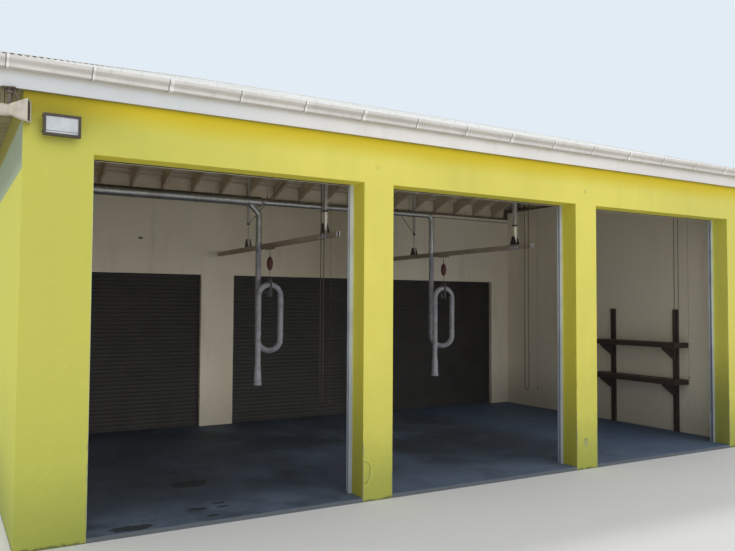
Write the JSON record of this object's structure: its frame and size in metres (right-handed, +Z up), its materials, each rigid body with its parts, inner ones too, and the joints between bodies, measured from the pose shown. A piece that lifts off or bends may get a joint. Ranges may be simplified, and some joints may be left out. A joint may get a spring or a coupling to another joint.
{
  "type": "fire station building",
  "caption": "Single-storey fire station hall with open vehicle doorways, rolled-up shutters, timber hip roof, metal roofing, gutters and exhaust extraction.",
  "frame": {"origin": "on the ground at the middle of the plan", "axes": "+X along the front towards the right-hand bay as seen from outside, +Y from the front to the back, +Z up"},
  "size_m": [13.346, 6.86, 5.9703],
  "materials": {
    "concrete_floor": "worn trowelled concrete",
    "wall_paint": "painted render",
    "roof_timber": "sawn",
    "blocking_timber": "painted",
    "roof_boarding": "sawn boards",
    "roof_sheet": "corrugated sheet, painted",
    "white_trim": "painted board",
    "soffit_boarding": "painted boards",
    "gutter": "weathered white enamel",
    "shutter_steel": "satin",
    "guide_steel": "dull",
    "zinc_steel": "galvanised",
    "dark_shutter": "matt",
    "hose_rubber": "ribbed, dull",
    "rail_steel": "satin",
    "hanger_steel": "satin",
    "rack_steel": "satin",
    "lamp_bronze": "powder coated",
    "lamp_glass": "ribbed",
    "horn_plastic": "weathered"
  },
  "bodies": {
    "root": {"floor_slab": "concrete_floor", "front_left_pier": "wall_paint", "front_inner_pier_1": "wall_paint", "front_inner_pier_2": "wall_paint", "front_right_pier": "wall_paint", "front_lintel": "wall_paint", "left_wall": "wall_paint", "right_wall": "wall_paint", "back_left_pier": "wall_paint", "back_inner_pier_1": "wall_paint", "back_inner_pier_2": "wall_paint", "back_right_pier": "wall_paint", "back_lintel": "wall_paint", "wall_plates": "roof_timber", "front_rafters": "roof_timber", "back_rafters": "roof_timber", "side_rafters": "roof_timber", "hip_rafters": "roof_timber", "ridge_board": "roof_timber", "eave_blocking": "blocking_timber", "roof_deck": "roof_boarding", "front_roof": "roof_sheet", "back_roof": "roof_sheet", "left_roof": "roof_sheet", "right_roof": "roof_sheet", "roof_caps": "roof_sheet", "fascia_boards": "white_trim", "soffits": "soffit_boarding", "front_gutter": "gutter", "back_gutter": "gutter", "side_gutters": "gutter", "rain_pipes": "gutter", "front_shutters": "shutter_steel", "shutter_guides": "guide_steel", "hand_chains": "zinc_steel", "back_shutters": "dark_shutter", "exhaust_duct": "zinc_steel", "duct_hangers": "zinc_steel", "exhaust_hoses": "hose_rubber", "hose_rails": "rail_steel", "rail_hangers": "hanger_steel", "wall_rack": "rack_steel", "flood_light": "lamp_bronze", "flood_light_glass": "lamp_glass", "horn_speaker": "horn_plastic"}
  },
  "joints": []
}
